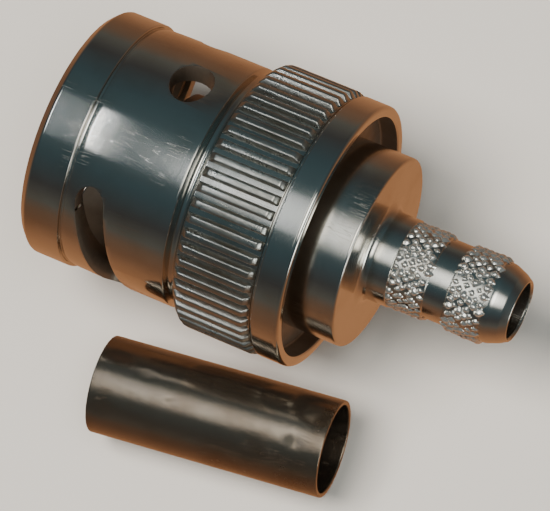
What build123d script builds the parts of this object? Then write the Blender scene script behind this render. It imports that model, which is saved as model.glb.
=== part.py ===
# Crimp BNC plug with its crimp ferrule lying beside it, in millimetres.
# The plug lies on its coupling nut, as on a bench. Its axis is X: the mating end looks
# towards -X and the cable end towards +X. The origin is on the axis, in the plane of the
# outer contact's front rim. "Station" below means a place along X.
import os
from math import cos, pi, radians, sin

from build123d import *

os.makedirs("parts", exist_ok=True)

# Coupling nut, outside
nut_lead = 5.2  # the front rim stands this far ahead of the outer contact
front_chamfer = 0.4
collar_step = 0.1  # collar over barrel
collar_length = 2.35
collar_groove_width = 0.16
collar_groove_depth = 0.08
barrel_wall = 0.95  # over the floors of the channels
barrel_length = 5.8
cove_length = 0.8
cove_depth = 0.35
cove_floor_length = 0.3
knurl_rise = 0.65  # tops of the teeth over the barrel
knurl_length = 4.35
knurl_teeth = 54
knurl_depth = 0.32
knurl_ridge_share = 0.52  # flat top of a tooth over the pitch
knurl_groove_share = 0.3  # flat floor of a groove over the pitch
knurl_end_chamfer = 0.3
relief_length = 0.18  # turned groove between the teeth and the rear band
relief_depth = 0.12  # below the floors of the teeth
band_step = 0.1  # the rear band lies this far below the tops of the teeth
band_length = 1.52
rim_chamfer = 0.2

# Coupling nut, inside
jack_bore_dia = 9.85
bore_chamfer = 0.3
lip_thickness = 0.8
band_wall = 0.6  # rear band outside the recess behind the lip
recess_chamfer = 0.12

# Bayonet channels in the nut, half a turn apart
channels = 2
slot_width = 2.15
slot_depth = 0.725
entry_length = 3.85  # front rim to the middle of the ramp's low end
ramp_rise = 2.35
ramp_turn = 108.0
detent_dia = 2.2
detent_angle = 59.0  # upper channel's detent hole, from +Y towards +Z
window_width = 1.6  # where the ramp's low end breaks through the wall
window_turn = 60.0

# Spring pack between the outer contact's flange and the nut's lip
face_gap = 0.03
wave_thickness = 0.2
wave_height = 0.74
wave_count = 3
wave_steps = 8  # cross-sections along one wave
washer_thickness = 0.22
washer_width = 0.785
washer_bore_clearance = 0.12
washer_rim_clearance = 0.17

# Outer contact
jack_space = 0.875  # between sleeve and nut, for the jack's barrel
sleeve_wall = 0.55
sleeve_length = 5.3  # front rim to the gasket
sleeve_bore_depth = 4.9
sleeve_chamfer = 0.15
finger_slots = 4
finger_slot_width = 0.45
finger_slot_length = 4.3
finger_slot_turn = 22.5  # from the nut's detent hole to the first slot
flange_clearance = 0.225
flange_thickness = 0.8
tail_wall = 0.6
tail_length = 1.7

# Gasket, in a turned seat at the root of the sleeve
gasket_rim_clearance = 0.12
gasket_thickness = 1.0
gasket_seat_depth = 0.2
gasket_seat_clearance = 0.02

# Plug body: neck inside the nut's lip, shoulder, crimp stem
socket_wall = 0.65  # neck outside the contact's tail
running_clearance = 0.05
shoulder_dia = 10.3
shoulder_length = 3.12
shoulder_chamfer = 0.12
root_step = 0.05  # root over the grips
root_length = 1.5
root_chamfer = 0.4  # foot of the stem, against the shoulder
grip_height = 0.18
first_grip_length = 1.95
second_grip_length = 1.9
land_dia = 4.3
land_length = 1.2
plain_length = 0.55
taper_length = 0.85
tip_drop = 0.25  # from the land to the open end
tip_chamfer = 0.2

# Bore of the crimp stem
tip_wall = 0.4
cable_bore_chamfer = 0.12

# Centre contact
contact_clearance = 0.03
pin_setback = 0.35
pin_dia = 1.35
pin_length = 4.6
pin_nose = 0.5
pin_nose_drop = 0.3
contact_collar_dia = 2.5
contact_collar_length = 0.9
crimp_tube_dia = 2.1
crimp_tube_length = 2.9
crimp_tube_wall = 0.55
crimp_tube_depth = 2.6
sight_hole_dia = 0.5
sight_hole_setback = 1.3  # from the crimp tube's open end

# Front insulator, a liner inside the outer contact
liner_setback = 0.7
liner_clearance = 0.25  # lets the fingers spring inwards
liner_wall = 0.8
liner_web = 0.45
liner_chamfer = 0.12

# Crimp ferrule
braid_room = 0.2  # for the cable's braid between stem and ferrule
ferrule_wall = 0.25
ferrule_length = 12.75
ferrule_edge = 0.06
ferrule_x = 6.8  # its middle on the bench
ferrule_y = -10.29
ferrule_turn = 7.0  # degrees about the vertical, from the plug's axis

# Stations along the axis
nut_front = -nut_lead
collar_rear = nut_front + collar_length
barrel_rear = collar_rear + collar_groove_width + barrel_length
knurl_front = barrel_rear + cove_length
cove_slope = (cove_length - cove_floor_length) / 2
knurl_rear = knurl_front + knurl_length
band_front = knurl_rear + relief_length
nut_rear = band_front + band_length
flange_front = sleeve_length + gasket_thickness
flange_rear = flange_front + flange_thickness
washer_front = flange_rear + wave_height + 2 * face_gap
lip_front = washer_front + washer_thickness + face_gap
lip_rear = lip_front + lip_thickness
shoulder_front = lip_rear + face_gap
shoulder_rear = shoulder_front + shoulder_length
first_grip = shoulder_rear + root_length
land_front = first_grip + first_grip_length
second_grip = land_front + land_length
plain_front = second_grip + second_grip_length
taper_front = plain_front + plain_length
stem_end = taper_front + taper_length
socket_floor = flange_rear + tail_length
pin_root = pin_setback + pin_length
collar_end = pin_root + contact_collar_length
tube_end = collar_end + crimp_tube_length

# Radii of the nut, from its bore outwards
bore_radius = jack_bore_dia / 2
slot_floor_radius = bore_radius + slot_depth
barrel_radius = slot_floor_radius + barrel_wall
collar_radius = barrel_radius + collar_step
knurl_radius = barrel_radius + knurl_rise
knurl_floor = knurl_radius - knurl_depth
relief_radius = knurl_floor - relief_depth
band_radius = knurl_radius - band_step
recess_radius = band_radius - band_wall
bench = -knurl_radius  # height of the surface under both pieces

# Radii of what the nut holds, from its bore inwards
washer_outer = bore_radius - washer_rim_clearance
washer_inner = washer_outer - washer_width
neck_radius = washer_inner - washer_bore_clearance
lip_radius = neck_radius + running_clearance
flange_radius = bore_radius - flange_clearance
sleeve_radius = bore_radius - jack_space
sleeve_bore_radius = sleeve_radius - sleeve_wall
gasket_seat_radius = sleeve_radius - gasket_seat_depth
tail_radius = neck_radius - socket_wall
bead_radius = tail_radius - tail_wall
liner_radius = sleeve_bore_radius - liner_clearance
liner_bore_radius = liner_radius - liner_wall

# Radii of the crimp stem and of the ferrule that goes over it
land_radius = land_dia / 2
grip_radius = land_radius + grip_height
root_radius = grip_radius + root_step
tip_radius = land_radius - tip_drop
cable_bore_radius = tip_radius - tip_wall
ferrule_bore_radius = land_radius + braid_room
ferrule_radius = ferrule_bore_radius + ferrule_wall


def spoke(station, angle):
    """Plane at a station on the axis that looks outwards, at an angle from +Y towards +Z."""
    outwards = (0, cos(radians(angle)), sin(radians(angle)))
    return Plane(origin=(station, 0, 0), x_dir=(1, 0, 0), z_dir=outwards)


def cross_plane(station, angle):
    """Plane square to the axis, with its own x direction along the given spoke."""
    spoke_dir = (0, cos(radians(angle)), sin(radians(angle)))
    return Plane(origin=(station, 0, 0), x_dir=spoke_dir, z_dir=(1, 0, 0))


# Toothed ring of the coupling nut: flat-topped teeth with chamfered ends
pitch_angle = 360.0 / knurl_teeth
tooth_gap = radians(pitch_angle * (1 - knurl_ridge_share) / 2)
tooth_floor = radians(pitch_angle * knurl_groove_share / 2)
groove_mouth = Vector(knurl_radius * cos(tooth_gap), knurl_radius * sin(tooth_gap))
groove_floor = Vector(knurl_floor * cos(tooth_floor), knurl_floor * sin(tooth_floor))
groove_outside = groove_mouth * 2 - groove_floor
with BuildPart() as toothed_ring:
    with BuildSketch(Plane.YZ.offset(knurl_front)):
        RegularPolygon(knurl_radius, knurl_teeth, major_radius=False)
    extrude(amount=knurl_length)
    rims = toothed_ring.edges().filter_by(Axis.X, reverse=True)
    chamfer(rims, knurl_end_chamfer)
    with BuildSketch(Plane.YZ.offset(knurl_front)):
        Circle(slot_floor_radius)
        with PolarLocations(0, knurl_teeth):
            Polygon(
                groove_floor,
                groove_outside,
                (groove_outside.X, -groove_outside.Y),
                (groove_floor.X, -groove_floor.Y),
                align=None,
            )
    extrude(amount=knurl_length, mode=Mode.SUBTRACT)

# Bayonet channels, as the metal that they take away inside the nut
ramp_low = nut_front + entry_length
ramp_high = ramp_low + ramp_rise
ramp_pitch = ramp_rise * 360 / ramp_turn
slot_inside = bore_radius - slot_width / 4
slot_outside = slot_floor_radius + slot_width / 8
wall_outside = collar_radius + slot_width / 8
low_angles = [detent_angle - ramp_turn + 360.0 / channels * n for n in range(channels)]


def cut_ramp(low_angle, turn, inside, outside, width):
    """Solid along a ramp, from its low end through the given turn, with round ends."""
    middle = (inside + outside) / 2
    line = Helix(ramp_pitch, ramp_pitch * turn / 360, middle, mode=Mode.PRIVATE)
    path = cross_plane(ramp_low, low_angle) * line
    spoke_dir = spoke(ramp_low, low_angle).z_dir
    with BuildSketch(Plane(origin=path @ 0, x_dir=spoke_dir, z_dir=path % 0)) as section:
        Rectangle(outside - inside, width)
    sweep(section.sketch, path=path, is_frenet=True)
    for station, angle in ((ramp_low, low_angle), ((path @ 1).X, low_angle + turn)):
        with BuildSketch(spoke(station, angle).offset(inside)) as round_end:
            Circle(width / 2)
        extrude(round_end.sketch, amount=outside - inside)


with BuildPart() as channel_cut:
    for low_angle in low_angles:
        cut_ramp(low_angle, ramp_turn, slot_inside, slot_outside, slot_width)
        with BuildSketch(cross_plane(nut_front, low_angle)):
            with Locations(((slot_inside + slot_outside) / 2, 0)):
                Rectangle(slot_outside - slot_inside, slot_width)
        extrude(amount=entry_length)
    with BuildSketch(Plane.YZ.offset(nut_front)):
        Circle(slot_floor_radius)
    extrude(amount=ramp_high + slot_width - nut_front, mode=Mode.INTERSECT)

# Openings right through the nut's wall: the ramps' low ends and the detent holes
with BuildPart() as wall_cut:
    for low_angle in low_angles:
        cut_ramp(low_angle, window_turn, slot_inside, wall_outside, window_width)
        with BuildSketch(spoke(ramp_high, low_angle + ramp_turn).offset(slot_inside)):
            Circle(detent_dia / 2)
        extrude(amount=wall_outside - slot_inside)

# Coupling nut
with BuildPart() as coupling_nut:
    with BuildSketch(Plane.XY):
        with BuildLine():
            Polyline(
                (nut_front, bore_radius + bore_chamfer),
                (nut_front, collar_radius - front_chamfer),
                (nut_front + front_chamfer, collar_radius),
                (collar_rear, collar_radius),
                (collar_rear, barrel_radius - collar_groove_depth),
                (collar_rear + collar_groove_width, barrel_radius - collar_groove_depth),
                (collar_rear + collar_groove_width, barrel_radius),
                (barrel_rear, barrel_radius),
                (barrel_rear + cove_slope, barrel_radius - cove_depth),
                (knurl_front - cove_slope, barrel_radius - cove_depth),
                (knurl_front, barrel_radius),
                (knurl_front, relief_radius),
                (band_front, relief_radius),
                (band_front, band_radius),
                (nut_rear - rim_chamfer, band_radius),
                (nut_rear, band_radius - rim_chamfer),
                (nut_rear, recess_radius + recess_chamfer),
                (nut_rear - recess_chamfer, recess_radius),
                (lip_rear, recess_radius),
                (lip_rear, lip_radius),
                (lip_front, lip_radius),
                (lip_front, bore_radius),
                (nut_front + bore_chamfer, bore_radius),
                close=True,
            )
        make_face()
    revolve(axis=Axis.X)
    add(toothed_ring.part)
    add(channel_cut.part, mode=Mode.SUBTRACT)
    add(wall_cut.part, mode=Mode.SUBTRACT)
coupling_nut.part.label = "coupling_nut"
export_step(coupling_nut.part, "parts/coupling_nut.step")

# Outer contact: slotted sleeve, flange behind the gasket and press-in tail
with BuildPart() as outer_contact:
    with BuildSketch(Plane.XY):
        with BuildLine():
            Polyline(
                (0, sleeve_bore_radius + sleeve_chamfer),
                (0, sleeve_radius - sleeve_chamfer),
                (sleeve_chamfer, sleeve_radius),
                (sleeve_length, sleeve_radius),
                (sleeve_length, gasket_seat_radius),
                (flange_front, gasket_seat_radius),
                (flange_front, flange_radius),
                (flange_rear, flange_radius),
                (flange_rear, tail_radius),
                (socket_floor, tail_radius),
                (socket_floor, bead_radius),
                (sleeve_bore_depth, bead_radius),
                (sleeve_bore_depth, sleeve_bore_radius),
                (sleeve_chamfer, sleeve_bore_radius),
                close=True,
            )
        make_face()
    revolve(axis=Axis.X)
    for slot in range(finger_slots):
        with BuildSketch(spoke(0, detent_angle + finger_slot_turn + slot * 360.0 / finger_slots)):
            with Locations((finger_slot_length / 2, 0)):
                Rectangle(finger_slot_length, finger_slot_width)
        extrude(amount=2 * sleeve_radius, mode=Mode.SUBTRACT)
outer_contact.part.label = "outer_contact"
export_step(outer_contact.part, "parts/outer_contact.step")

# Gasket against the flange, in its seat
with BuildPart() as gasket:
    with BuildSketch(Plane.YZ.offset(sleeve_length)):
        Circle(bore_radius - gasket_rim_clearance)
        Circle(gasket_seat_radius + gasket_seat_clearance, mode=Mode.SUBTRACT)
    extrude(amount=gasket_thickness)
gasket.part.label = "gasket"
export_step(gasket.part, "parts/gasket.step")

# Wave washer: a flat strip bent into waves round the neck, lofted one whole wave at a time
wave_middle = (washer_inner + washer_outer) / 2
wave_swing = (wave_height - wave_thickness) / 2
wave_station = flange_rear + face_gap + wave_height / 2
with BuildPart() as one_wave:
    for step in range(wave_steps + 1):
        turn = 360.0 / wave_count * step / wave_steps
        swing = wave_swing * cos(2 * pi * step / wave_steps)
        crossing = spoke(wave_station + swing, turn)
        middle = crossing.origin + crossing.z_dir * wave_middle
        with BuildSketch(Plane(origin=middle, x_dir=(1, 0, 0), z_dir=crossing.y_dir)):
            Rectangle(wave_thickness, washer_outer - washer_inner)
    loft()
with BuildPart() as wave_washer:
    for wave in range(wave_count):
        add(one_wave.part, rotation=(wave * 360.0 / wave_count, 0, 0))
wave_washer.part.label = "wave_washer"
export_step(wave_washer.part, "parts/wave_washer.step")

# Flat washer between the wave washer and the nut's lip
with BuildPart() as flat_washer:
    with BuildSketch(Plane.YZ.offset(washer_front)):
        Circle(washer_outer)
        Circle(washer_inner, mode=Mode.SUBTRACT)
    extrude(amount=washer_thickness)
flat_washer.part.label = "flat_washer"
export_step(flat_washer.part, "parts/flat_washer.step")

# Plug body: neck with the socket for the outer contact, shoulder and crimp stem
with BuildPart() as plug_body:
    with BuildSketch(Plane.XY):
        with BuildLine():
            Polyline(
                (flange_rear, tail_radius),
                (flange_rear, neck_radius),
                (shoulder_front, neck_radius),
                (shoulder_front, shoulder_dia / 2 - shoulder_chamfer),
                (shoulder_front + shoulder_chamfer, shoulder_dia / 2),
                (shoulder_rear - shoulder_chamfer, shoulder_dia / 2),
                (shoulder_rear, shoulder_dia / 2 - shoulder_chamfer),
                (shoulder_rear, root_radius + root_chamfer),
                (shoulder_rear + root_chamfer, root_radius),
                (first_grip, root_radius),
                (first_grip, grip_radius),
                (land_front, grip_radius),
                (land_front, land_radius),
                (second_grip, land_radius),
                (second_grip, grip_radius),
                (plain_front, grip_radius),
                (plain_front, land_radius),
                (taper_front, land_radius),
                (stem_end - tip_chamfer, tip_radius),
                (stem_end, tip_radius - tip_chamfer),
                (stem_end, cable_bore_radius + cable_bore_chamfer),
                (stem_end - cable_bore_chamfer, cable_bore_radius),
                (socket_floor, cable_bore_radius),
                (socket_floor, tail_radius),
                close=True,
            )
        make_face()
    revolve(axis=Axis.X)
plug_body.part.label = "plug_body"
export_step(plug_body.part, "parts/plug_body.step")

# Front insulator: liner inside the slotted sleeve, with its web round the pin
with BuildPart() as front_insulator:
    with BuildSketch(Plane.XY):
        with BuildLine():
            Polyline(
                (liner_setback, liner_bore_radius + liner_chamfer),
                (liner_setback, liner_radius),
                (sleeve_bore_depth, liner_radius),
                (sleeve_bore_depth, bead_radius),
                (collar_end, bead_radius),
                (collar_end, contact_collar_dia / 2 + contact_clearance),
                (pin_root, contact_collar_dia / 2 + contact_clearance),
                (pin_root, pin_dia / 2 + contact_clearance),
                (pin_root - liner_web, pin_dia / 2 + contact_clearance),
                (pin_root - liner_web, liner_bore_radius),
                (liner_setback + liner_chamfer, liner_bore_radius),
                close=True,
            )
        make_face()
    revolve(axis=Axis.X)
front_insulator.part.label = "front_insulator"
export_step(front_insulator.part, "parts/front_insulator.step")

# Rear insulator: bead in the outer contact's tail, behind the contact's collar
with BuildPart() as rear_insulator:
    with BuildSketch(Plane.YZ.offset(collar_end)):
        Circle(bead_radius)
        Circle(crimp_tube_dia / 2 + contact_clearance, mode=Mode.SUBTRACT)
    extrude(amount=socket_floor - collar_end)
rear_insulator.part.label = "rear_insulator"
export_step(rear_insulator.part, "parts/rear_insulator.step")

# Centre contact: round-nosed pin, collar and crimp tube with its sight hole
with BuildPart() as centre_contact:
    with BuildSketch(Plane.XY):
        with BuildLine():
            Polyline(
                (pin_setback, 0),
                (pin_setback, pin_dia / 2 - pin_nose_drop),
                (pin_setback + pin_nose, pin_dia / 2),
                (pin_root, pin_dia / 2),
                (pin_root, contact_collar_dia / 2),
                (collar_end, contact_collar_dia / 2),
                (collar_end, crimp_tube_dia / 2),
                (tube_end, crimp_tube_dia / 2),
                (tube_end, crimp_tube_dia / 2 - crimp_tube_wall),
                (tube_end - crimp_tube_depth, crimp_tube_dia / 2 - crimp_tube_wall),
                (tube_end - crimp_tube_depth, 0),
                close=True,
            )
        make_face()
    revolve(axis=Axis.X)
    with BuildSketch(Plane.XY):
        with Locations((tube_end - sight_hole_setback, 0)):
            Circle(sight_hole_dia / 2)
    extrude(amount=crimp_tube_dia, mode=Mode.SUBTRACT)
centre_contact.part.label = "centre_contact"
export_step(centre_contact.part, "parts/centre_contact.step")

# Crimp ferrule, lying on the bench beside the plug
ferrule_middle = Vector(ferrule_x, ferrule_y, bench + ferrule_radius)
ferrule_dir = Vector(cos(radians(ferrule_turn)), sin(radians(ferrule_turn)), 0)
ferrule_start = ferrule_middle - ferrule_dir * (ferrule_length / 2)
with BuildPart() as crimp_ferrule:
    with BuildSketch(Plane(origin=ferrule_start, z_dir=ferrule_dir)):
        Circle(ferrule_radius)
        Circle(ferrule_bore_radius, mode=Mode.SUBTRACT)
    extrude(amount=ferrule_length)
    rims = crimp_ferrule.edges().filter_by(GeomType.CIRCLE).group_by(SortBy.RADIUS)[-1]
    chamfer(rims, ferrule_edge)
crimp_ferrule.part.label = "crimp_ferrule"
export_step(crimp_ferrule.part, "parts/crimp_ferrule.step")
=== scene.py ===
from math import atan2, cos, exp, pi, radians, sin, sqrt

import bmesh
import bpy
from mathutils import Matrix, Vector


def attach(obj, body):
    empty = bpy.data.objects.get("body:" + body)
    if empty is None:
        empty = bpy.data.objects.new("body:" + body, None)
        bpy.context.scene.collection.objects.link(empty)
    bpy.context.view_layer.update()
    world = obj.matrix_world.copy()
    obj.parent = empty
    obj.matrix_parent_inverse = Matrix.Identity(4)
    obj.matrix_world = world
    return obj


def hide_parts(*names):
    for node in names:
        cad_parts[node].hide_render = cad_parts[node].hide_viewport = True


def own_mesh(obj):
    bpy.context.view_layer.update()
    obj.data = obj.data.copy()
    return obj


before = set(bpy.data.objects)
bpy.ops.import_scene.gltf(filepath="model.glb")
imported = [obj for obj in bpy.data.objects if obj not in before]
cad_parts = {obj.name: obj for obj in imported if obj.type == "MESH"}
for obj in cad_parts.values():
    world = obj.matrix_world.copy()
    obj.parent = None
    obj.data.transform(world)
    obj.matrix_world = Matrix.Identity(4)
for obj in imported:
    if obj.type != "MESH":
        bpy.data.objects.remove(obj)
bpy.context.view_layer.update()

scene = bpy.context.scene
mm = 0.001


# Small helpers, used by every piece

def linear(hexColour):
    parts = [int(hexColour[i:i + 2], 16) / 255 for i in (1, 3, 5)]
    return [c / 12.92 if c <= 0.04045 else ((c + 0.055) / 1.055) ** 2.4 for c in parts] + [1.0]


def addNode(tree, kind, inputs=None, **settings):
    # an input given as a socket is linked to it, and one given as a node is linked to its first output
    made = tree.nodes.new(kind)
    for name, value in settings.items():
        setattr(made, name, value)
    for key, value in (inputs or {}).items():
        if isinstance(value, bpy.types.Node):
            value = value.outputs[0]
        if isinstance(value, bpy.types.NodeSocket):
            tree.links.new(value, made.inputs[key])
        else:
            made.inputs[key].default_value = value
    return made


def meshFrom(shape, name):
    mesh = bpy.data.meshes.new(name)
    shape.to_mesh(mesh)
    shape.free()
    return mesh


def meshObject(name, mesh, material):
    piece = bpy.data.objects.new(name, mesh)
    scene.collection.objects.link(piece)
    mesh.materials.clear()
    mesh.materials.append(material)
    return piece


def smoothed(mesh, sharpAngle=32):
    mesh.shade_smooth()
    mesh.set_sharp_from_angle(angle=radians(sharpAngle))
    return mesh


# how a turned outline's corners are rounded
cornerRule = {
    "leastTurn": 0.05,  # radians; a straighter corner is left alone
    "mostOfRun": 0.48,  # a rounding takes less than half of the run beside it
    "ringOff": 0.03,  # mm from a rounding to the thin ring that keeps the long run's shading true
    "ringMost": 0.49,  # of the run, and no ring goes past that
    "ringLeast": 0.004,  # mm; a ring nearer than this is left out
}


def roundedOutline(corners, steps=4):
    # corners are (station, radius, rounding), and each rounding becomes a short arc
    points = []
    for i, (x, r, rounding) in enumerate(corners):
        here = Vector((x, r))
        before = Vector(corners[i - 1][:2]) - here
        after = Vector(corners[(i + 1) % len(corners)][:2]) - here
        turn = pi - before.angle(after)
        if rounding <= 0 or turn < cornerRule["leastTurn"]:
            points.append((x, r))
            continue
        shorter = min(before.length, after.length)
        reach = min(rounding * sin(turn / 2) / cos(turn / 2), shorter * cornerRule["mostOfRun"])
        start = here + before.normalized() * reach
        end = here + after.normalized() * reach
        ring = min(cornerRule["ringOff"], shorter * cornerRule["ringMost"] - reach)
        if ring > cornerRule["ringLeast"]:
            points.append(tuple(start + before.normalized() * ring))
        for k in range(steps + 1):
            t = k / steps
            p = start * (1 - t) ** 2 + here * 2 * t * (1 - t) + end * t ** 2
            points.append((p.x, p.y))
        if ring > cornerRule["ringLeast"]:
            points.append(tuple(end + after.normalized() * ring))
    return points


def rolledOff(start, end, radius, drop, steps=10):
    # a run along the axis that falls away by a hair towards its start, as buffed plate does beside a step
    return [(start + (end - start) * k / steps, radius - drop * (1 - k / steps) ** 2, 0)
            for k in range(1, steps)]


def lathe(name, corners, segments=192):
    # turns a closed outline round the X axis
    points = roundedOutline(corners)
    shape = bmesh.new()
    rings = []
    for k in range(segments):
        angle = 2 * pi * k / segments
        rings.append([shape.verts.new((x * mm, r * mm * cos(angle), r * mm * sin(angle))) for x, r in points])
    for k in range(segments):
        ring, following = rings[k], rings[(k + 1) % segments]
        for i in range(len(points)):
            j = (i + 1) % len(points)
            shape.faces.new((ring[i], ring[j], following[j], following[i]))
    bmesh.ops.remove_doubles(shape, verts=shape.verts, dist=0.0001 * mm)
    bmesh.ops.recalc_face_normals(shape, faces=shape.faces)
    return smoothed(meshFrom(shape, name))


def bakedMesh(piece):
    # the evaluated object as a plain mesh, with its modifiers gone
    depsgraph = bpy.context.evaluated_depsgraph_get()
    mesh = bpy.data.meshes.new_from_object(piece.evaluated_get(depsgraph))
    piece.modifiers.clear()
    piece.data = mesh
    return mesh


def newTree(name, inputs):
    # a Geometry Nodes tree with named inputs, and the sockets that bring their values in
    tree = bpy.data.node_groups.new(name, "GeometryNodeTree")
    for label, kind in inputs.items():
        tree.interface.new_socket(label, in_out="INPUT", socket_type="NodeSocket" + kind)
    tree.interface.new_socket("Geometry", in_out="OUTPUT", socket_type="NodeSocketGeometry")
    return tree, addNode(tree, "NodeGroupInput").outputs


def endTree(tree, given, places):
    # sets the piece at each point, then turns the instances real and gives them their finish
    source = addNode(tree, "GeometryNodeObjectInfo", {"Object": given["Piece"]})
    placed = addNode(tree, "GeometryNodeInstanceOnPoints", {"Instance": source.outputs["Geometry"], **places})
    real = addNode(tree, "GeometryNodeRealizeInstances", {0: placed})
    finished = addNode(tree, "GeometryNodeSetMaterial", {"Geometry": real, "Material": given["Finish"]})
    addNode(tree, "NodeGroupOutput", {0: finished})
    return tree


def runTree(name, tree, values):
    # gives the tree its inputs by identifier, then keeps the result as a plain mesh
    piece = meshObject(name, bpy.data.meshes.new(name), values["Finish"])
    modifier = piece.modifiers.new(name, "NODES")
    modifier.node_group = tree
    for item in tree.interface.items_tree:
        if item.in_out == "INPUT":
            modifier[item.identifier] = values[item.name]
    bakedMesh(piece)
    return piece


# Camera, where the photograph was taken from

camera = {
    "distance": 240.0,  # mm
    "focalPixels": 4656.0, "imageWidth": 550,  # pixels of the photograph
    "rearward": 0.2750,  # radians, how far it stands towards the cable end
    "around": 80.0,  # degrees, how high it stands over the ferrule's side
    "axisSlope": 0.3944,  # radians, how steeply the axis falls in the picture
    "offset": (-5.4813, -4.5935),  # mm, the origin's place to the right of the picture's middle and below it
    "sensorWidth": 36, "nearest": 0.01, "farthest": 10,
}


def addCamera(c):
    around = radians(c["around"])
    back = Vector((sin(c["rearward"]), -cos(c["rearward"]) * cos(around), cos(c["rearward"]) * sin(around)))
    ahead = -back
    axisSeen = (Vector((1, 0, 0)) - back * back.x).normalized()
    across = ahead.cross(axisSeen)
    right = axisSeen * cos(c["axisSlope"]) - across * sin(c["axisSlope"])
    down = ahead.cross(right)
    place = -(right * c["offset"][0] + down * c["offset"][1] + ahead * c["distance"]) * mm
    data = bpy.data.cameras.new("camera")
    data.sensor_width = c["sensorWidth"]
    data.lens = c["focalPixels"] / c["imageWidth"] * c["sensorWidth"]
    data.clip_start = c["nearest"]
    data.clip_end = c["farthest"]
    eye = bpy.data.objects.new("camera", data)
    turned = Matrix((right, -down, back)).transposed().to_4x4()
    eye.matrix_world = Matrix.Translation(place) @ turned
    scene.collection.objects.link(eye)
    scene.camera = eye


addCamera(camera)
print("camera set")


# Materials

# Nickel plate has a faintly warm grey mirror. Handling leaves soft smudges that dull it, tools leave fine
# lines, and use leaves hairline scratches. share is how far the tarnish shows; smudge and grime are the
# roughness that they add; pits, lineDepth and scratch are strengths of relief, and pitSize is in mm.
plating = {
    # turned and buffed, which leaves a clear mirror with the faintest rings round the axis
    "turnedNickel": {
        "base": "#cbc8c1", "tarnish": "#a8977f", "share": 0.35, "metal": 1.0, "roughness": 0.1,
        "smudge": 0.012, "grime": 0.012, "pits": 0.1, "pitSize": 0.5, "lines": "turned", "lineDepth": 0.06,
        "scratch": 0.2,
    },
    # turned and hardly buffed, so its mirror is softer, and rings and scratches show in the highlights
    "stemNickel": {
        "base": "#cbc8c1", "tarnish": "#a8977f", "share": 0.35, "metal": 1.0, "roughness": 0.17,
        "smudge": 0.03, "grime": 0.03, "pits": 0.15, "pitSize": 0.5, "lines": "turned", "lineDepth": 0.12,
        "scratch": 0.35,
    },
    # cut teeth that fingers have scuffed, greyer and pitted, so that their highlights break up
    "knurledNickel": {
        "base": "#bfbdb6", "tarnish": "#8d8272", "share": 0.5, "metal": 1.0, "roughness": 0.26,
        "smudge": 0.08, "grime": 0.12, "pits": 1.0, "pitSize": 0.16, "lines": "turned", "lineDepth": 0.35,
        "scratch": 0.2,
    },
    # grips raised by pressing, with a pale, lumpy skin that glitters
    "pressedNickel": {
        "base": "#e9e6df", "tarnish": "#a89c88", "share": 0.4, "metal": 0.9, "roughness": 0.17,
        "smudge": 0.06, "grime": 0.1, "pits": 0.6, "pitSize": 0.12, "lines": "turned", "lineDepth": 0.1,
        "scratch": 0.0,
    },
    # cut and never buffed, so dull where no wheel reaches; its darker brown is partly painted shade for the
    # inside of the nut and the contact within it
    "unbuffedNickelAndShade": {
        "base": "#8f8172", "tarnish": "#66523f", "share": 0.6, "metal": 0.85, "roughness": 0.42,
        "smudge": 0.1, "grime": 0.1, "pits": 0.5, "pitSize": 0.3, "lines": "turned", "lineDepth": 0.6,
        "scratch": 0.0,
    },
    # tube drawn through a die, a darker, brownish mirror with lines along it
    "drawnNickel": {
        "base": "#8e8274", "tarnish": "#765f48", "share": 0.6, "metal": 0.95, "roughness": 0.2,
        "smudge": 0.06, "grime": 0.05, "pits": 0.5, "pitSize": 0.35, "lines": "drawn", "lineDepth": 0.35,
        "scratch": 1.0,
    },
}

# real sizes of the plate's patterns in mm
wear = {
    "smudgeSize": 3.5,  # a fingertip's print breaks up into patches this wide
    "grimeSize": 0.6,  # specks of dirt that wiping leaves
    "ringPitch": 0.09,  # tool marks are 0.02 apart, which would not show, so they are drawn this coarse
    "ringLength": 3.846,  # round the axis, before one ring fades into another
    "drawnSize": (5.0, 0.125, 0.125),  # die lines are finer than would show, so they are drawn this coarse
    "hairSize": (2.857, 0.1923, 0.1923), "hairTurn": (0.3, 0.5, 0.9),  # scratches, and their slant in radians
    "lineDepth": 0.004, "pitDepth": 0.012, "hairDepth": 0.01,
    # and the heights of the noise, 0 to 1, between which each effect comes in
    "tarnished": (0.42, 0.72), "smudged": (0.4, 0.7), "grimy": (0.45, 0.75), "handled": (0.5, 0.6),
    "hairWidth": 0.006,  # how near to the middle height a scratch begins
}


def newMaterial(name):
    material = bpy.data.materials.new(name)
    material.use_nodes = True
    material.node_tree.nodes.clear()
    return material, material.node_tree


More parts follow.
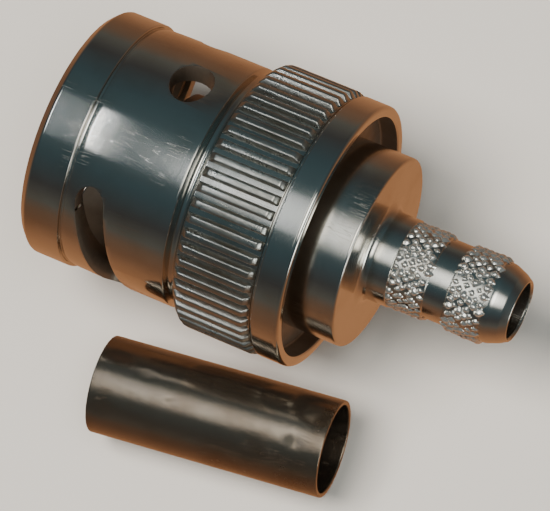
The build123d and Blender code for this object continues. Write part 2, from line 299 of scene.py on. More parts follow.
def makePlating(name, middle=(0, 0, 0), turn=0.0):
    # middle and turn lay the piece's own axis along X
    p = plating[name]
    material, tree = newMaterial(name)
    own = addNode(tree, "ShaderNodeMapping", {
        "Vector": addNode(tree, "ShaderNodeTexCoord").outputs["Object"],
        "Location": [v * mm for v in middle], "Rotation": (0, 0, radians(turn))}, vector_type="TEXTURE")

    smudges = addNode(tree, "ShaderNodeTexNoise", {
        "Vector": own, "Scale": 1 / (wear["smudgeSize"] * mm), "Detail": 4.0, "Roughness": 0.55})
    grime = addNode(tree, "ShaderNodeTexNoise", {
        "Vector": own, "Scale": 1 / (wear["grimeSize"] * mm), "Detail": 6.0, "Roughness": 0.7})
    pits = addNode(tree, "ShaderNodeTexNoise", {
        "Vector": own, "Scale": 1 / (p["pitSize"] * mm), "Detail": 3.0, "Roughness": 0.55})

    if p["lines"] == "turned":
        # rings change quickly along the axis and outwards from it, and slowly round it
        perRing, perLength = 1 / (wear["ringPitch"] * mm), 1 / (wear["ringLength"] * mm)
        across = addNode(tree, "ShaderNodeVectorMath", {0: own, 1: (0, 1, 1)}, operation="MULTIPLY")
        radius = addNode(tree, "ShaderNodeVectorMath", {0: across}, operation="LENGTH").outputs["Value"]
        outwards = addNode(tree, "ShaderNodeMath", {0: radius, 1: perRing}, operation="MULTIPLY")
        along = addNode(tree, "ShaderNodeSeparateXYZ", {0: own})
        endwards = addNode(tree, "ShaderNodeMath", {0: along, 1: perRing}, operation="MULTIPLY")
        ringed = addNode(tree, "ShaderNodeCombineXYZ", {0: endwards, 1: outwards})
        course = addNode(tree, "ShaderNodeVectorMath", {0: own, 1: (0, perLength, perLength), 2: ringed},
                         operation="MULTIPLY_ADD")
    else:
        course = addNode(tree, "ShaderNodeVectorMath", {
            0: own, 1: [1 / (size * mm) for size in wear["drawnSize"]]}, operation="MULTIPLY")
    lines = addNode(tree, "ShaderNodeTexNoise", {
        "Vector": course, "Scale": 1.0, "Detail": 1.0, "Roughness": 0.55})

    # a scratch is where a stretched noise crosses its middle height, and shows only where the smudges are
    slanted = addNode(tree, "ShaderNodeMapping", {
        "Vector": own, "Rotation": wear["hairTurn"], "Scale": [1 / (size * mm) for size in wear["hairSize"]]})
    field = addNode(tree, "ShaderNodeTexNoise", {
        "Vector": slanted, "Scale": 1.0, "Detail": 1.0, "Roughness": 0.55})
    fromMiddle = addNode(tree, "ShaderNodeMath", {0: field, 1: 0.5}, operation="SUBTRACT")
    height = addNode(tree, "ShaderNodeMath", {0: fromMiddle}, operation="ABSOLUTE")
    crossing = addNode(tree, "ShaderNodeMapRange", {
        "Value": height, "From Min": 0.0, "From Max": wear["hairWidth"], "To Min": 1.0, "To Max": 0.0})
    handled = addNode(tree, "ShaderNodeMapRange", {
        "Value": smudges, "From Min": wear["handled"][0], "From Max": wear["handled"][1]})
    hair = addNode(tree, "ShaderNodeMath", {0: crossing, 1: handled}, operation="MULTIPLY")

    tarnish = addNode(tree, "ShaderNodeMapRange", {
        "Value": smudges, "From Min": wear["tarnished"][0], "From Max": wear["tarnished"][1],
        "To Max": p["share"]})
    tint = addNode(tree, "ShaderNodeMix", {0: tarnish, 6: linear(p["base"]), 7: linear(p["tarnish"])},
                   data_type="RGBA")
    smudged = addNode(tree, "ShaderNodeMapRange", {
        "Value": smudges, "From Min": wear["smudged"][0], "From Max": wear["smudged"][1],
        "To Min": p["roughness"], "To Max": p["roughness"] + p["smudge"]})
    grimy = addNode(tree, "ShaderNodeMapRange", {
        "Value": grime, "From Min": wear["grimy"][0], "From Max": wear["grimy"][1], "To Max": p["grime"]})
    dull = addNode(tree, "ShaderNodeMath", {0: smudged, 1: grimy}, operation="ADD")

    marked = addNode(tree, "ShaderNodeBump", {
        "Height": lines, "Strength": p["lineDepth"], "Distance": wear["lineDepth"] * mm})
    pitted = addNode(tree, "ShaderNodeBump", {
        "Height": pits, "Strength": p["pits"], "Distance": wear["pitDepth"] * mm, "Normal": marked})
    scratched = addNode(tree, "ShaderNodeBump", {
        "Height": hair, "Strength": p["scratch"], "Distance": wear["hairDepth"] * mm, "Normal": pitted},
        invert=True)
    shader = addNode(tree, "ShaderNodeBsdfPrincipled", {
        "Base Color": tint.outputs[2], "Metallic": p["metal"], "Roughness": dull, "Normal": scratched})
    addNode(tree, "ShaderNodeOutputMaterial", {"Surface": shader})
    return material


# what the pieces inside are made of; cloudSize and depth are the size and height of their unevenness, in mm
innerFinishes = {
    # gold plate on turned bronze, a clear yellow mirror that clouds only a little
    "goldPlate": {
        "pale": "#d9b25c", "dark": "#b98c3c", "cloudSize": 1.111, "depth": 0.01, "roughness": 0.22,
        "metal": 1.0, "waxy": 0.0,
    },
    # PTFE turned from rod, white with a waxy depth, because some light goes into it
    "whitePtfe": {
        "pale": "#ebe9e1", "dark": "#dcd8cc", "cloudSize": 2.0, "depth": 0.01, "roughness": 0.45,
        "metal": 0.0, "waxy": 0.15,
    },
    # moulded silicone rubber, an even red-brown with a dull, slightly rough skin
    "gasketRubber": {
        "pale": "#7c3525", "dark": "#6a2b1e", "cloudSize": 0.6667, "depth": 0.02, "roughness": 0.6,
        "metal": 0.0, "waxy": 0.0,
    },
    # spring bronze stamped from rolled strip, brown with a soft sheen
    "springBronze": {
        "pale": "#a87c4e", "dark": "#86603c", "cloudSize": 0.8333, "depth": 0.01, "roughness": 0.3,
        "metal": 1.0, "waxy": 0.0,
    },
    # plain steel stamped and tumbled, a cool grey with a soft sheen
    "washerSteel": {
        "pale": "#a2a3a2", "dark": "#868784", "cloudSize": 0.6667, "depth": 0.01, "roughness": 0.32,
        "metal": 1.0, "waxy": 0.0,
    },
}
waxDepth = 0.4  # mm that light goes into PTFE


def makeInnerFinish(name):
    f = innerFinishes[name]
    material, tree = newMaterial(name)
    place = addNode(tree, "ShaderNodeTexCoord").outputs["Object"]
    cloud = addNode(tree, "ShaderNodeTexNoise", {
        "Vector": place, "Scale": 1 / (f["cloudSize"] * mm), "Detail": 5})
    tint = addNode(tree, "ShaderNodeMix", {0: cloud, 6: linear(f["pale"]), 7: linear(f["dark"])},
                   data_type="RGBA")
    uneven = addNode(tree, "ShaderNodeBump", {"Height": cloud, "Strength": 0.3, "Distance": f["depth"] * mm})
    shader = addNode(tree, "ShaderNodeBsdfPrincipled", {
        "Base Color": tint.outputs[2], "Metallic": f["metal"], "Roughness": f["roughness"], "Normal": uneven,
        "Subsurface Weight": f["waxy"], "Subsurface Scale": waxDepth * mm})
    addNode(tree, "ShaderNodeOutputMaterial", {"Surface": shader})
    return material


turnedNickel = makePlating("turnedNickel")
stemNickel = makePlating("stemNickel")
knurledNickel = makePlating("knurledNickel")
pressedNickel = makePlating("pressedNickel")
unbuffedNickelAndShade = makePlating("unbuffedNickelAndShade")
goldPlate = makeInnerFinish("goldPlate")
whitePtfe = makeInnerFinish("whitePtfe")
gasketRubber = makeInnerFinish("gasketRubber")
springBronze = makeInnerFinish("springBronze")
washerSteel = makeInnerFinish("washerSteel")
print("materials made")


# Coupling nut: turned, then the bayonet channels cut out, then the teeth set round it

# stations and radii in mm, then the roundings of its edges
nut = {
    "front": -5.2, "collarRadius": 6.7, "collarRear": -2.85, "grooveRear": -2.69, "grooveRadius": 6.5,
    "barrelRadius": 6.6, "barrelRear": 3.11, "coveRadius": 6.25, "coveSlope": 0.25, "toothFront": 3.91,
    "toothRear": 8.26, "floorRadius": 6.93, "reliefRadius": 6.81, "bandFront": 8.44, "bandRadius": 7.15,
    "rear": 9.96, "recessRadius": 6.55, "lipRear": 8.95, "lipRadius": 3.9, "lipFront": 8.15,
    "boreRadius": 4.925, "rollOff": 0.055, "rollLength": 3.2, "mouthChamfer": 0.3, "collarChamfer": 0.4,
    "crisp": 0.03, "eased": 0.05, "rimInner": 0.15, "rimOuter": 0.2, "collarEdge": 0.09,
    "barrelFrontEdge": 0.08, "barrelRearEdge": 0.12, "coveEdge": 0.3, "bandFrontEdge": 0.08,
    "bandRearEdge": 0.22, "recessEdge": 0.12, "recessFloor": 0.1,
    "segments": 240, "bevel": 0.04, "bevelFrom": 50,  # mm, on edges that turn by more degrees than this
    # what lies nearer the axis than the cove's floor, or than the recess's wall behind the lip, is unbuffed
    # and takes a darker brown that is partly painted shade, with these margins to the floor, the wall and the
    # two rims
    "coveMargin": 0.03, "recessMargin": 0.04, "frontMargin": 0.3, "rearMargin": 0.05,
}
# one of the two bayonet channels, in mm and degrees; the four solids that cut it differ by apart or by a
# hair, so that no two of them share a face, and their round ends stop at blunt, a share of the width
channel = {
    "width": 2.15, "floorRadius": 5.65, "rampLow": -1.35, "rise": 2.35, "turn": 108.0, "detentAngle": 59.0,
    "detentRadius": 1.1, "windowWidth": 1.6, "windowTurn": 60.0, "insideRadius": 4.4, "outsideRadius": 7.0,
    "pastFront": 1.5, "apart": 0.05, "hair": 0.005, "rampSteps": 40, "entrySteps": 8, "columns": 6,
    "roundSteps": 6, "blunt": 0.02,
}


def nutOutline(n):
    return [
        (n["front"], n["boreRadius"] + n["mouthChamfer"], n["eased"]),
        (n["front"], n["collarRadius"] - n["collarChamfer"], n["rimInner"]),
        (n["front"] + n["collarChamfer"], n["collarRadius"], n["rimOuter"]),
        (n["collarRear"], n["collarRadius"], n["collarEdge"]),
        (n["collarRear"], n["grooveRadius"], n["crisp"]),
        (n["grooveRear"], n["grooveRadius"], n["crisp"]),
        (n["grooveRear"], n["barrelRadius"] - n["rollOff"], n["barrelFrontEdge"]),
        *rolledOff(n["grooveRear"], n["grooveRear"] + n["rollLength"], n["barrelRadius"], n["rollOff"]),
        (n["barrelRear"], n["barrelRadius"], n["barrelRearEdge"]),
        (n["barrelRear"] + n["coveSlope"], n["coveRadius"], n["coveEdge"]),
        (n["toothFront"] - n["coveSlope"], n["coveRadius"], n["coveEdge"]),
        (n["toothFront"], n["barrelRadius"], n["eased"]),
        (n["toothFront"], n["floorRadius"], n["eased"]),
        (n["toothRear"], n["floorRadius"], n["crisp"]),
        (n["toothRear"], n["reliefRadius"], n["crisp"]),
        (n["bandFront"], n["reliefRadius"], n["crisp"]),
        (n["bandFront"], n["bandRadius"], n["bandFrontEdge"]),
        (n["rear"], n["bandRadius"], n["bandRearEdge"]),
        (n["rear"], n["recessRadius"], n["recessEdge"]),
        (n["lipRear"], n["recessRadius"], n["recessFloor"]),
        (n["lipRear"], n["lipRadius"], n["eased"]),
        (n["lipFront"], n["lipRadius"], n["eased"]),
        (n["lipFront"], n["boreRadius"], n["eased"]),
    ]


def evenly(start, end, steps):
    return [[a + (b - a) * t / steps for a, b in zip(start, end)] for t in range(steps + 1)]


def addCut(shape, path, width, inside, outside, middle):
    # a closed solid with round ends along a path of (arc, station), drawn on a cylinder of radius middle
    columns, last = channel["columns"], len(path) - 1
    roundEnd = [sin(pi / 2 * k / channel["roundSteps"]) for k in range(channel["roundSteps"] + 1)]
    picks = [(0, -s) for s in reversed(roundEnd)]
    picks += [(i, 0.0) for i in range(1, last)]
    picks += [(last, s) for s in roundEnd]
    rows = []
    for i, s in picks:
        heading = (Vector(path[min(i + 1, last)]) - Vector(path[max(i - 1, 0)])).normalized()
        half = width / 2 * max(sqrt(1 - s * s), channel["blunt"])
        centre = Vector(path[i]) + heading * (s * width / 2)
        side = Vector((-heading.y, heading.x))
        rows.append([centre + side * (half * (2 * k / columns - 1)) for k in range(columns + 1)])
    low, high = [
        [[shape.verts.new((p.y * mm, radius * mm * cos(p.x / middle), radius * mm * sin(p.x / middle)))
          for p in row] for row in rows]
        for radius in (inside, outside)]
    for i in range(len(rows) - 1):
        for k in range(columns):
            shape.faces.new((low[i][k], low[i][k + 1], low[i + 1][k + 1], low[i + 1][k]))
            shape.faces.new((high[i][k], high[i + 1][k], high[i + 1][k + 1], high[i][k + 1]))
        for k in (0, columns):
            shape.faces.new((low[i][k], low[i + 1][k], high[i + 1][k], high[i][k]))
    for i in (0, len(rows) - 1):
        for k in range(columns):
            shape.faces.new((low[i][k], low[i][k + 1], high[i][k + 1], high[i][k]))


def nutCutter(n, c):
    shape = bmesh.new()
    middle = (n["boreRadius"] + c["floorRadius"]) / 2
    windowShare = c["windowTurn"] / c["turn"]
    for half in (0, 180):
        lowAngle = radians(c["detentAngle"] - c["turn"] + half)
        low = (middle * lowAngle, c["rampLow"])
        high = (middle * (lowAngle + radians(c["turn"])), c["rampLow"] + c["rise"])
        windowAngle = lowAngle + radians(c["windowTurn"])
        windowEnd = (middle * windowAngle, c["rampLow"] + c["rise"] * windowShare)
        mouth = (low[0], n["front"] - c["pastFront"])
        beforeHigh, afterHigh = [(high[0], high[1] + shift) for shift in (-c["hair"], c["hair"])]
        cuts = [
            (evenly(low, high, c["rampSteps"]), c["width"], c["floorRadius"]),
            (evenly(mouth, low, c["entrySteps"]), c["width"] - 2 * c["hair"], c["floorRadius"] - c["hair"]),
            (evenly(low, windowEnd, c["rampSteps"]), c["windowWidth"], c["outsideRadius"]),
            (evenly(beforeHigh, afterHigh, 2), 2 * c["detentRadius"], c["outsideRadius"] + c["apart"]),
        ]
        for k, (path, width, outside) in enumerate(cuts):
            addCut(shape, path, width, c["insideRadius"] - k * c["apart"], outside, middle)
    bmesh.ops.recalc_face_normals(shape, faces=shape.faces)
    return meshFrom(shape, "nutCutter")


def makeNutBody(n):
    turned = lathe("couplingNut", nutOutline(n), n["segments"])
    piece = meshObject("couplingNut", turned, turnedNickel)
    cutter = meshObject("nutCutter", nutCutter(n, channel), turnedNickel)
    cut = piece.modifiers.new("cut", "BOOLEAN")
    cut.operation = "DIFFERENCE"
    cut.solver = "EXACT"
    cut.object = cutter
    cut.use_self = True
    edge = piece.modifiers.new("edge", "BEVEL")
    edge.limit_method = "ANGLE"
    edge.angle_limit = radians(n["bevelFrom"])
    edge.width = n["bevel"] * mm
    edge.segments = 2
    mesh = smoothed(bakedMesh(piece))
    bpy.data.objects.remove(cutter)
    mesh.materials.clear()
    mesh.materials.append(turnedNickel)
    mesh.materials.append(unbuffedNickelAndShade)
    # faces inside the bore and the recess take the dull finish whose darker brown is partly painted shade
    for face in mesh.polygons:
        x, y, z = face.center / mm
        wall = n["coveRadius"] - n["coveMargin"]
        if x > n["lipRear"]:
            wall = n["recessRadius"] + n["recessMargin"]
        between = n["front"] + n["frontMargin"] < x < n["rear"] - n["rearMargin"]
        face.material_index = 1 if between and sqrt(y * y + z * z) < wall else 0
    return piece


teeth = {
    "count": 54, "tip": 7.25, "base": 6.86, "front": 3.91, "rear": 8.26,
    "ridgeShare": 0.46, "baseShare": 0.72,  # of the pitch
    "endChamfer": 0.32, "rounding": 0.085, "footHeight": 0.01,  # mm; edges lower than footHeight stay sharp
    "unevenness": 0.002, "seed": 4,  # radians that a tooth may stand off its place
}


# a ring of equal pieces round the X axis; the piece to repeat is modelled at +Y
def ringTree():
    tree, given = newTree("ringOfPieces", {
        "Piece": "Object", "Count": "Int", "Turn": "Float", "Unevenness": "Float", "Seed": "Int",
        "Finish": "Material"})
    points = addNode(tree, "GeometryNodePoints", {"Count": given["Count"]})
    index = addNode(tree, "GeometryNodeInputIndex")
    step = addNode(tree, "ShaderNodeMath", {0: 2 * pi, 1: given["Count"]}, operation="DIVIDE")
    angle = addNode(tree, "ShaderNodeMath", {0: index, 1: step, 2: given["Turn"]}, operation="MULTIPLY_ADD")
    shake = addNode(tree, "FunctionNodeRandomValue", {"Min": -1.0, "Max": 1.0, "Seed": given["Seed"]},
                    data_type="FLOAT").outputs[1]
    shaken = addNode(tree, "ShaderNodeMath", {0: shake, 1: given["Unevenness"], 2: angle},
                     operation="MULTIPLY_ADD")
    turn = addNode(tree, "ShaderNodeCombineXYZ", {"X": shaken})
    return endTree(tree, given, {"Points": points, "Rotation": turn})


def makeTooth(t):
    # flat-topped ridge at +Y, its ends chamfered, its edges softened
    pitch = 2 * pi / t["count"]
    low = t["tip"] - t["endChamfer"]
    shape = bmesh.new()
    loops = []
    for x, tip in ((t["front"], low), (t["front"] + t["endChamfer"], t["tip"]),
                   (t["rear"] - t["endChamfer"], t["tip"]), (t["rear"], low)):
        drop = (t["tip"] - tip) / (t["tip"] - t["base"])
        share = t["ridgeShare"] + (t["baseShare"] - t["ridgeShare"]) * drop
        top, foot = pitch * share / 2, pitch * t["baseShare"] / 2
        loops.append([shape.verts.new((x * mm, r * mm * cos(a), r * mm * sin(a)))
                      for r, a in ((t["base"], -foot), (tip, -top), (tip, top), (t["base"], foot))])
    for a, b in zip(loops, loops[1:]):
        for i in range(4):
            shape.faces.new((a[i], a[(i + 1) % 4], b[(i + 1) % 4], b[i]))
    shape.faces.new(loops[0])
    shape.faces.new(loops[-1])
    bmesh.ops.recalc_face_normals(shape, faces=shape.faces)
    clear = (t["base"] + t["footHeight"]) * mm
    upper = [e for e in shape.edges if all(Vector(v.co[1:]).length > clear for v in e.verts)]
    bmesh.ops.bevel(shape, geom=upper, offset=t["rounding"] * mm, segments=3, profile=0.5, affect="EDGES")
    return smoothed(meshFrom(shape, "tooth"), sharpAngle=50)


nutBody = makeNutBody(nut)
print("coupling nut turned and cut")
tooth = meshObject("tooth", makeTooth(teeth), knurledNickel)
nutTeeth = runTree("nutTeeth", ringTree(), {
    "Piece": tooth, "Count": teeth["count"], "Turn": pi / teeth["count"], "Unevenness": teeth["unevenness"],
    "Seed": teeth["seed"], "Finish": knurledNickel})
bpy.data.objects.remove(tooth)
for piece in (nutBody, nutTeeth):
    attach(piece, "nut")
    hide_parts("coupling_nut")
print("teeth set round the nut")


# Plug body: neck, shoulder and crimp stem, with its two bands of grip

# stations and radii in mm, then steps, chamfers and the roundings of its edges
body = {
    "front": 7.1, "socketFloor": 8.8, "socketRadius": 3.2, "neckRadius": 3.85, "shoulderFront": 8.98,
    "shoulderRear": 12.1, "shoulderRadius": 5.15, "rootRadius": 2.38, "firstGrip": 13.6, "landFront": 15.55,
    "secondGrip": 16.75, "plainFront": 18.65, "taperFront": 19.2, "end": 20.05, "gripRadius": 2.24,
    "landRadius": 2.15, "tipRadius": 1.9, "boreRadius": 1.5, "rootStep": 0.06, "landStep": 0.04,
    "taperLead": 0.2, "tipLength": 0.4, "tipChamfer": 0.24, "mouthChamfer": 0.08, "mouthDepth": 0.12,
    "crisp": 0.03, "eased": 0.05, "shoulderFrontEdge": 0.15, "shoulderRearEdge": 0.16, "footFillet": 0.45,
    "taperRound": 0.9, "tipRound": 0.5, "rimEdge": 0.08,
}


def bodyOutline(b):
    return [
        (b["front"], b["socketRadius"], b["eased"]),
        (b["front"], b["neckRadius"], b["eased"]),
        (b["shoulderFront"], b["neckRadius"], b["eased"]),
        (b["shoulderFront"], b["shoulderRadius"], b["shoulderFrontEdge"]),
        (b["shoulderRear"], b["shoulderRadius"], b["shoulderRearEdge"]),
        (b["shoulderRear"], b["rootRadius"], b["footFillet"]),
        (b["firstGrip"], b["rootRadius"], b["eased"]),
        (b["firstGrip"] + b["rootStep"], b["gripRadius"], b["crisp"]),
        (b["landFront"], b["gripRadius"], b["crisp"]),
        (b["landFront"] + b["landStep"], b["landRadius"], b["crisp"]),
        (b["secondGrip"] - b["landStep"], b["landRadius"], b["crisp"]),
        (b["secondGrip"], b["gripRadius"], b["crisp"]),
        (b["plainFront"], b["gripRadius"], b["crisp"]),
        (b["plainFront"] + b["landStep"], b["landRadius"], b["crisp"]),
        (b["taperFront"] - b["taperLead"], b["landRadius"], b["taperRound"]),
        (b["end"] - b["tipLength"], b["tipRadius"], b["tipRound"]),
        (b["end"], b["tipRadius"] - b["tipChamfer"], b["rimEdge"]),
        (b["end"], b["boreRadius"] + b["mouthChamfer"], b["crisp"]),
        (b["end"] - b["mouthDepth"], b["boreRadius"], b["eased"]),
        (b["socketFloor"], b["boreRadius"], b["eased"]),
        (b["socketFloor"], b["socketRadius"], b["eased"]),
    ]


grip = {
    "around": 30, "rows": 6, "rowPitch": 0.315, "radius": 2.22, "inset": 0.02,
    "height": 0.12, "sunk": 0.05, "halfLength": 0.33, "halfWidth": 0.27, "rounding": 0.06,
    "worn": 0.42,  # how much of the pyramid's width its flat top keeps
    "jitter": 0.06, "sizeSpread": 0.22, "tilt": 0.22,  # mm, a share of the size, and radians
    "seeds": {"firstGrip": 11, "secondGrip": 23},
}


# rows of small pyramids round the X axis, every other row turned by half a pitch, each grip a little astray
def gripTree():
    tree, given = newTree("gripBand", {
        "Piece": "Object", "Around": "Int", "Rows": "Int", "Start": "Float", "Row Pitch": "Float",
        "Radius": "Float", "Jitter": "Float", "Size Spread": "Float", "Tilt": "Float", "Seed": "Int",
        "Finish": "Material"})
    astray = addNode(tree, "FunctionNodeRandomValue", {
        "Min": (-1, -1, -1), "Max": (1, 1, 1), "Seed": given["Seed"]}, data_type="FLOAT_VECTOR")
    shake = addNode(tree, "ShaderNodeSeparateXYZ", {0: astray}).outputs

    index = addNode(tree, "GeometryNodeInputIndex")
    laps = addNode(tree, "ShaderNodeMath", {0: index, 1: given["Around"]}, operation="DIVIDE")
    row = addNode(tree, "ShaderNodeMath", {0: laps}, operation="FLOOR")
    column = addNode(tree, "ShaderNodeMath", {0: index, 1: given["Around"]}, operation="MODULO")
    oddRow = addNode(tree, "ShaderNodeMath", {0: row, 1: 2.0}, operation="MODULO")
    order = addNode(tree, "ShaderNodeMath", {0: oddRow, 1: 0.5, 2: column}, operation="MULTIPLY_ADD")
    share = addNode(tree, "ShaderNodeMath", {0: order, 1: given["Around"]}, operation="DIVIDE")
    even = addNode(tree, "ShaderNodeMath", {0: share, 1: 2 * pi}, operation="MULTIPLY")
    sway = addNode(tree, "ShaderNodeMath", {0: given["Jitter"], 1: given["Radius"]}, operation="DIVIDE")
    angle = addNode(tree, "ShaderNodeMath", {0: shake[1], 1: sway, 2: even}, operation="MULTIPLY_ADD")

    middle = addNode(tree, "ShaderNodeMath", {0: row, 1: 0.5}, operation="ADD")
    level = addNode(tree, "ShaderNodeMath", {0: middle, 1: given["Row Pitch"], 2: given["Start"]},
                    operation="MULTIPLY_ADD")
    station = addNode(tree, "ShaderNodeMath", {0: shake[0], 1: given["Jitter"], 2: level},
                      operation="MULTIPLY_ADD")
    size = addNode(tree, "ShaderNodeMath", {0: shake[2], 1: given["Size Spread"], 2: 1.0},
                   operation="MULTIPLY_ADD")
    cosine = addNode(tree, "ShaderNodeMath", {0: angle}, operation="COSINE")
    sine = addNode(tree, "ShaderNodeMath", {0: angle}, operation="SINE")
    across = addNode(tree, "ShaderNodeMath", {0: given["Radius"], 1: cosine}, operation="MULTIPLY")
    up = addNode(tree, "ShaderNodeMath", {0: given["Radius"], 1: sine}, operation="MULTIPLY")
    spot = addNode(tree, "ShaderNodeCombineXYZ", {0: station, 1: across, 2: up})
    count = addNode(tree, "ShaderNodeMath", {0: given["Around"], 1: given["Rows"]}, operation="MULTIPLY")
    points = addNode(tree, "GeometryNodePoints", {"Count": count, "Position": spot})

    upright = addNode(tree, "ShaderNodeCombineXYZ", {"X": angle})
    turn = addNode(tree, "ShaderNodeVectorMath", {0: astray, 1: given["Tilt"], 2: upright},
                   operation="MULTIPLY_ADD")
    return endTree(tree, given, {"Points": points, "Rotation": turn, "Scale": size})


def makeDiamond(g):
    # four-sided pyramid that points to +Y, its tip worn flat, with a closed foot
    shape = bmesh.new()
    foot, worn = [
        [shape.verts.new((x * share * mm, height * mm, z * share * mm)) for x, z in
         ((g["halfLength"], 0), (0, g["halfWidth"]), (-g["halfLength"], 0), (0, -g["halfWidth"]))]
        for share, height in ((1, -g["sunk"]), (g["worn"], g["height"]))]
    for i in range(4):
        shape.faces.new((foot[i], foot[(i + 1) % 4], worn[(i + 1) % 4], worn[i]))
    shape.faces.new(worn)
    shape.faces.new(foot)
    bmesh.ops.recalc_face_normals(shape, faces=shape.faces)
    upper = [e for e in shape.edges if any(v in worn for v in e.verts)]
    bmesh.ops.bevel(shape, geom=upper, offset=g["rounding"] * mm, segments=2, profile=0.5, affect="EDGES")
    return smoothed(meshFrom(shape, "diamond"), sharpAngle=50)


plugPieces = [meshObject("plugBody", lathe("plugBody", bodyOutline(body)), stemNickel)]
diamond = meshObject("diamond", makeDiamond(grip), pressedNickel)
bandTree = gripTree()
for name, seed in grip["seeds"].items():
    plugPieces.append(runTree(name, bandTree, {
        "Piece": diamond, "Around": grip["around"], "Rows": grip["rows"],
        "Start": (body[name] + grip["inset"]) * mm, "Row Pitch": grip["rowPitch"] * mm,
        "Radius": grip["radius"] * mm, "Jitter": grip["jitter"] * mm, "Size Spread": grip["sizeSpread"],
        "Tilt": grip["tilt"], "Seed": seed, "Finish": pressedNickel}))
bpy.data.objects.remove(diamond)
for piece in plugPieces:
    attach(piece, "plug")
    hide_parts("plug_body")
print("plug body and its grips made")


# Crimp ferrule: a thin drawn tube with a few knocks

ferrule = {
    "radius": 2.6, "boreRadius": 2.35, "length": 12.75, "rim": 0.07,
    "middle": (6.8, -10.29, -4.65), "turn": 7.0,  # degrees round Z, off the plug's axis
    "segments": 200, "rings": 64,  # many rings, so that the knocks have something to bend
    "skin": 0.01, "fadeOut": 6,  # only the outside is bent, and a knock ends where its nearness comes to this
    # knocks are (station, angle, reach, depth), in mm and degrees
    "knocks": [
        (-1.9, 98, 0.16, 0.05), (-5.6, 128, 0.5, 0.045), (2.6, 122, 0.6, 0.04), (4.9, 104, 0.35, 0.05),
        (0.4, 60, 0.45, 0.04), (-3.6, 75, 0.3, 0.03), (5.6, 70, 0.5, 0.04), (1.8, 250, 0.5, 0.04),
    ],
}


def makeFerrule(f):
    half = f["length"] / 2
    mesh = lathe("crimpFerrule", [
        (-half, f["boreRadius"], f["rim"]), (-half, f["radius"], f["rim"]),
        *[(half * (2 * k / f["rings"] - 1), f["radius"], 0) for k in range(1, f["rings"])],
        (half, f["radius"], f["rim"]), (half, f["boreRadius"], f["rim"])], f["segments"])
    for vertex in mesh.vertices:
        x, y, z = vertex.co / mm
        if sqrt(y * y + z * z) < f["radius"] - f["skin"]:
            continue
        for station, angle, reach, depth in f["knocks"]:
            off = (atan2(z, y) - radians(angle) + pi) % (2 * pi) - pi
            nearness = ((x - station) / reach) ** 2 + (off * f["radius"] / reach) ** 2
            if nearness < f["fadeOut"]:
                inwards = 1 - depth * exp(-nearness) / f["radius"]
                vertex.co.y *= inwards
                vertex.co.z *= inwards
    place = Matrix.Translation(Vector(f["middle"]) * mm) @ Matrix.Rotation(radians(f["turn"]), 4, "Z")
    mesh.transform(place)
    return meshObject("crimpFerrule", mesh, makePlating("drawnNickel", f["middle"], f["turn"]))


crimpFerrule = makeFerrule(ferrule)
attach(crimpFerrule, "plug")
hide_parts("crimp_ferrule")
print("ferrule made")


# Inner pieces keep their machined shape, merged and smooth

# each node's piece, its finish, the body that it rides on and its slot
innerPieces = {
    # the outer contact inside the nut takes the same dull finish, its darker brown partly painted shade
    "outer_contact": ("outerContact", unbuffedNickelAndShade, "plug", "nickel_plate"),
    "gasket": ("gasketRing", gasketRubber, "plug", "gasket_rubber"),
    "wave_washer": ("waveWasher", springBronze, "plug", "spring_bronze"),
    "flat_washer": ("flatWasher", washerSteel, "washer", "washer_steel"),
    "front_insulator": ("frontInsulator", whitePtfe, "plug", "white_ptfe"),
    "rear_insulator": ("rearInsulator", whitePtfe, "plug", "white_ptfe"),
    "centre_contact": ("centreContact", goldPlate, "plug", "gold_plate"),
}


def makeInnerPiece(node, name, material):
    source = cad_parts[node]
    shape = bmesh.new()
    shape.from_mesh(source.data)
    shape.transform(source.matrix_world)
    bmesh.ops.remove_doubles(shape, verts=shape.verts, dist=0.001 * mm)
    return meshObject(name, smoothed(meshFrom(shape, name), sharpAngle=28), material)


for node, (name, material, rider, slotName) in innerPieces.items():
    piece = makeInnerPiece(node, name, material)
    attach(piece, rider)
    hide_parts(node)
    if node == "wave_washer":
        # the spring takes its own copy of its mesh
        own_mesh(piece)
print("inner pieces made")


# Floor, lights and the room that the metal mirrors

studio = {
    "floorHeight": -7.25, "floorSize": 3000, "floorColour": "#e6e1da", "floorRoughness": 0.7,
    # the room's colour by how high one looks, from -1 straight down to 1 straight up
    "room": [
        (-1.0, "#c88e62"), (-0.65, "#ab7a58"), (-0.35, "#83614b"), (-0.12, "#77604f"), (0.05, "#62615b"),
        (0.35, "#454545"), (0.7, "#42545a"), (1.0, "#4c6268"),
    ],
}

# strips and boxes that the metal mirrors, and one wide soft light that it doesn't; places and sizes in mm
lights = {
    "barrelStrip": {"at": (-134, -22, 310), "size": (13, 240), "watts": 0.2, "colour": "#f4f9ff"},
    "bandBox": {"at": (-84, -40, 310), "size": (12, 200), "watts": 0.022, "colour": "#f4f9ff"},
    "stemBox": {"at": (-57, -40, 310), "size": (27, 300), "watts": 0.126, "colour": "#fbfaf4"},
    "tipBox": {"at": (110, -30, 310), "size": (180, 240), "watts": 0.85, "colour": "#fbfaf4"},
    "sideBox": {"at": (400, -70, 60), "size": (320, 120), "watts": 1.3, "colour": "#eef6f4"},
    "wideSoft": {"at": (-120, -60, 420), "size": (240, 240), "watts": 2.4, "colour": "#fff6ec"},
}
unmirrored = ("wideSoft",)


def addFloor(s):
    shape = bmesh.new()
    bmesh.ops.create_grid(shape, x_segments=1, y_segments=1, size=s["floorSize"] * mm)
    bmesh.ops.translate(shape, verts=shape.verts, vec=(0, 0, s["floorHeight"] * mm))
    material, tree = newMaterial("paleFloor")  # painted board, pale and matt, which takes only soft shadows
    shader = addNode(tree, "ShaderNodeBsdfPrincipled", {
        "Base Color": linear(s["floorColour"]), "Roughness": s["floorRoughness"]})
    addNode(tree, "ShaderNodeOutputMaterial", {"Surface": shader})
    floor = meshObject("floor", meshFrom(shape, "floor"), material)
    floor.visible_glossy = False  # the metal mirrors the darker room, as it does in the photograph


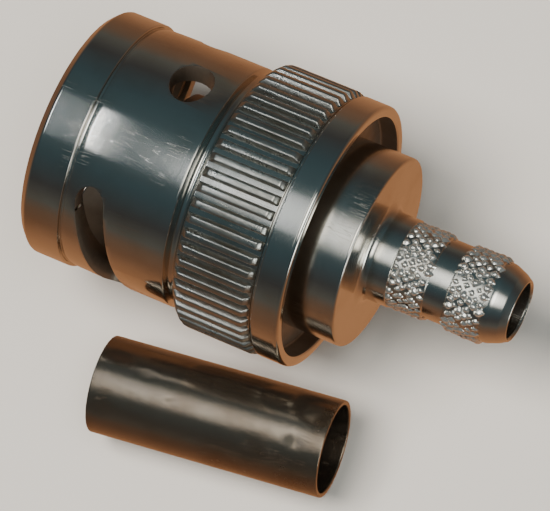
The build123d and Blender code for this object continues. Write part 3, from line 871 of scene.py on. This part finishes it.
def fadeToEdges(data):
    # brightest in the middle and fading out to the edges, as a lamp does behind a cloth
    data.use_nodes = True
    tree = data.node_tree
    tree.nodes.clear()
    surface = addNode(tree, "ShaderNodeNewGeometry").outputs["Parametric"]
    place = addNode(tree, "ShaderNodeSeparateXYZ", {0: surface})
    glow = 16.0  # the middle's two humps are a quarter each, so this makes it 1 there
    for axis in "XY":
        rest = addNode(tree, "ShaderNodeMath", {0: 1.0, 1: place.outputs[axis]}, operation="SUBTRACT")
        hump = addNode(tree, "ShaderNodeMath", {0: place.outputs[axis], 1: rest}, operation="MULTIPLY")
        glow = addNode(tree, "ShaderNodeMath", {0: hump, 1: glow}, operation="MULTIPLY")
    lit = addNode(tree, "ShaderNodeEmission", {"Strength": glow})
    addNode(tree, "ShaderNodeOutputLight", {0: lit})


def addLight(name, spec):
    data = bpy.data.lights.new(name, "AREA")
    data.shape = "RECTANGLE"
    data.energy = spec["watts"]
    data.size, data.size_y = [side * mm for side in spec["size"]]
    data.color = linear(spec["colour"])[:3]
    mirrored = name not in unmirrored
    if mirrored:
        fadeToEdges(data)
    lamp = bpy.data.objects.new(name, data)
    lamp.visible_glossy = mirrored
    place = Vector(spec["at"]) * mm
    back = place.normalized()  # a lamp's own Z points away from the object, so it shines at the origin
    side = (Vector((1, 0, 0)) - back * back.x).normalized()
    if abs(back.x) > 0.8:  # one that stands nearly on the axis takes Y for its side
        side = Vector((0, 1, 0))
    turned = Matrix((side, back.cross(side), back)).transposed().to_4x4()
    lamp.matrix_world = Matrix.Translation(place) @ turned
    scene.collection.objects.link(lamp)


def addRoom(s):
    world = bpy.data.worlds.new("studio")
    world.use_nodes = True
    tree = world.node_tree
    tree.nodes.clear()
    looked = addNode(tree, "ShaderNodeTexCoord").outputs["Generated"]
    upwards = addNode(tree, "ShaderNodeSeparateXYZ", {0: looked}).outputs["Z"]
    height = addNode(tree, "ShaderNodeMapRange", {"Value": upwards, "From Min": -1.0, "From Max": 1.0})
    tones = addNode(tree, "ShaderNodeValToRGB", {0: height})
    stops = tones.color_ramp.elements
    while len(stops) < len(s["room"]):
        stops.new(0.5)
    for stop, (level, colour) in zip(stops, s["room"]):
        stop.position = (level + 1) / 2
        stop.color = linear(colour)
    air = addNode(tree, "ShaderNodeBackground", {"Color": tones})
    addNode(tree, "ShaderNodeOutputWorld", {"Surface": air})
    scene.world = world


addFloor(studio)
for name, spec in lights.items():
    addLight(name, spec)
addRoom(studio)
print("floor and lights set")
